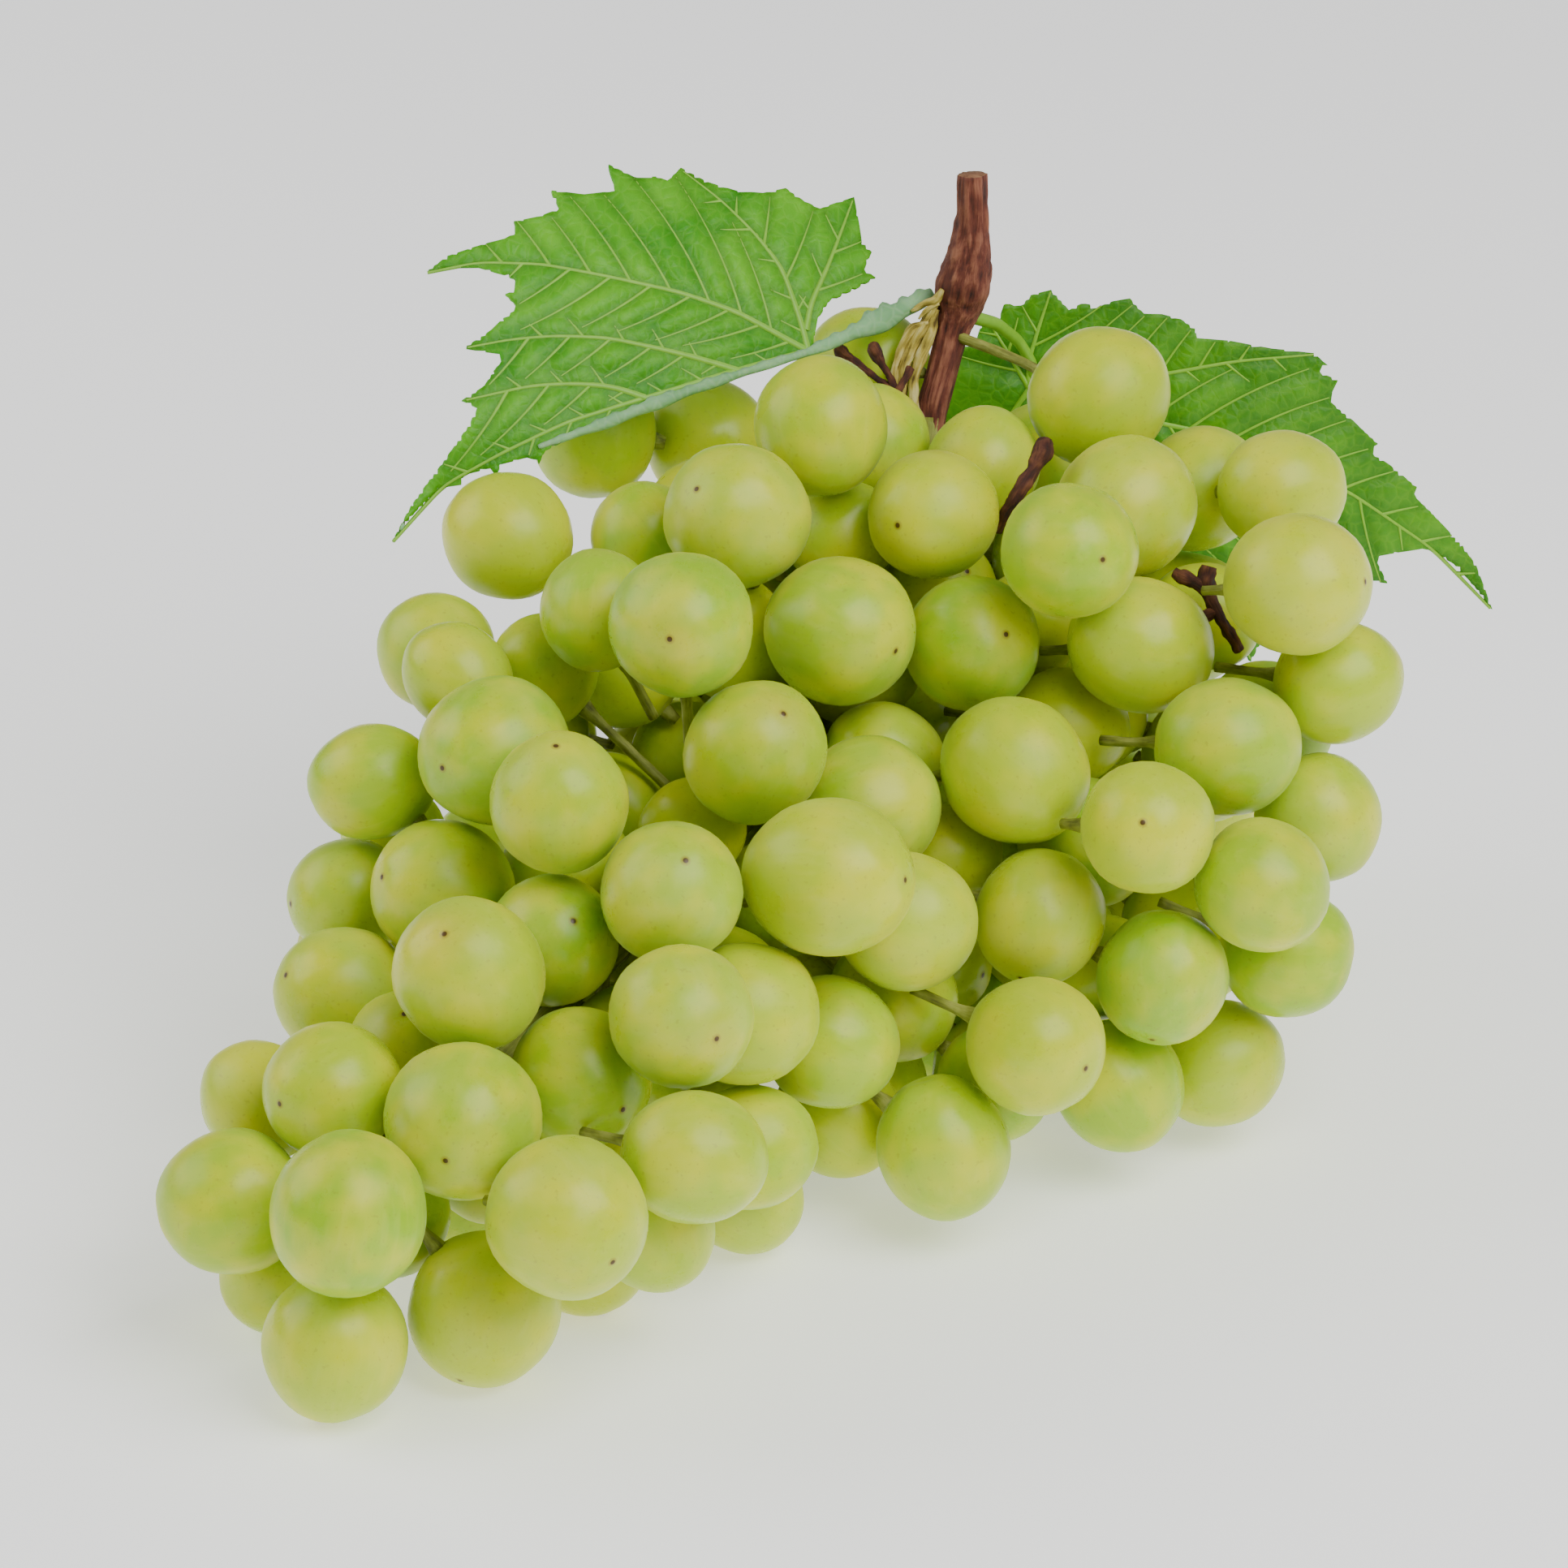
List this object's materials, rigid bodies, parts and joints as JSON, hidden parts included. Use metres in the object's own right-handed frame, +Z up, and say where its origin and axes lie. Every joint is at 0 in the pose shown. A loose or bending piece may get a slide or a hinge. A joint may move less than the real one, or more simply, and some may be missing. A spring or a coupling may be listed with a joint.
{
  "type": "bunch of grapes",
  "caption": "Bunch of white table grapes lying on its side, broad at the shoulders and tapering to the tip, with a woody stem stub and vine leaves.",
  "frame": {"origin": "middle of the footprint, on the surface that the bunch lies on", "axes": "+Z up; +Y away from the front, towards the stem end; +X to the right as seen from in front. The tip of the bunch points to -X -Y."},
  "size_m": [0.1974, 0.2042, 0.1207],
  "materials": {
    "grape": "translucent yellow-green skin with a thin waxy bloom, broad soft highlights and a small brown scar at the end of each berry",
    "bark": "dry reddish-brown bark with a lengthwise grain, torn pale wood along one side",
    "leaf": "satin mid-green upper side with paler raised veins, and a matte blue-green underside"
  },
  "bodies": {
    "root": {"leaf_left": "leaf", "leaf_right": "leaf", "sprig_01": "grape", "sprig_02": "grape", "sprig_03": "grape", "sprig_04": "grape", "sprig_05": "grape", "sprig_06": "grape", "sprig_07": "grape", "sprig_08": "grape", "sprig_09": "grape", "sprig_10": "grape", "sprig_11": "grape", "sprig_12": "grape", "sprig_13": "grape", "sprig_14": "grape", "sprig_15": "grape", "sprig_16": "grape", "sprig_17": "grape", "sprig_18": "grape", "sprig_19": "grape", "sprig_20": "grape", "sprig_21": "grape", "sprig_22": "grape", "sprig_23": "grape", "sprig_24": "grape", "sprig_25": "grape", "sprig_26": "grape", "sprig_27": "grape", "sprig_28": "grape", "sprig_29": "grape", "sprig_30": "grape", "sprig_31": "grape", "sprig_32": "grape", "sprig_33": "grape", "sprig_34": "grape", "sprig_35": "grape", "sprig_36": "grape", "sprig_37": "grape", "sprig_38": "grape", "sprig_39": "grape", "sprig_40": "grape", "sprig_41": "grape", "sprig_42": "grape", "sprig_43": "grape", "sprig_44": "grape", "sprig_45": "grape", "sprig_46": "grape", "sprig_47": "grape", "sprig_48": "grape", "sprig_49": "grape", "sprig_50": "grape", "sprig_51": "grape", "sprig_52": "grape", "sprig_53": "grape", "sprig_54": "grape", "sprig_55": "grape", "sprig_56": "grape", "sprig_57": "grape", "stem": "bark"}
  },
  "joints": []
}
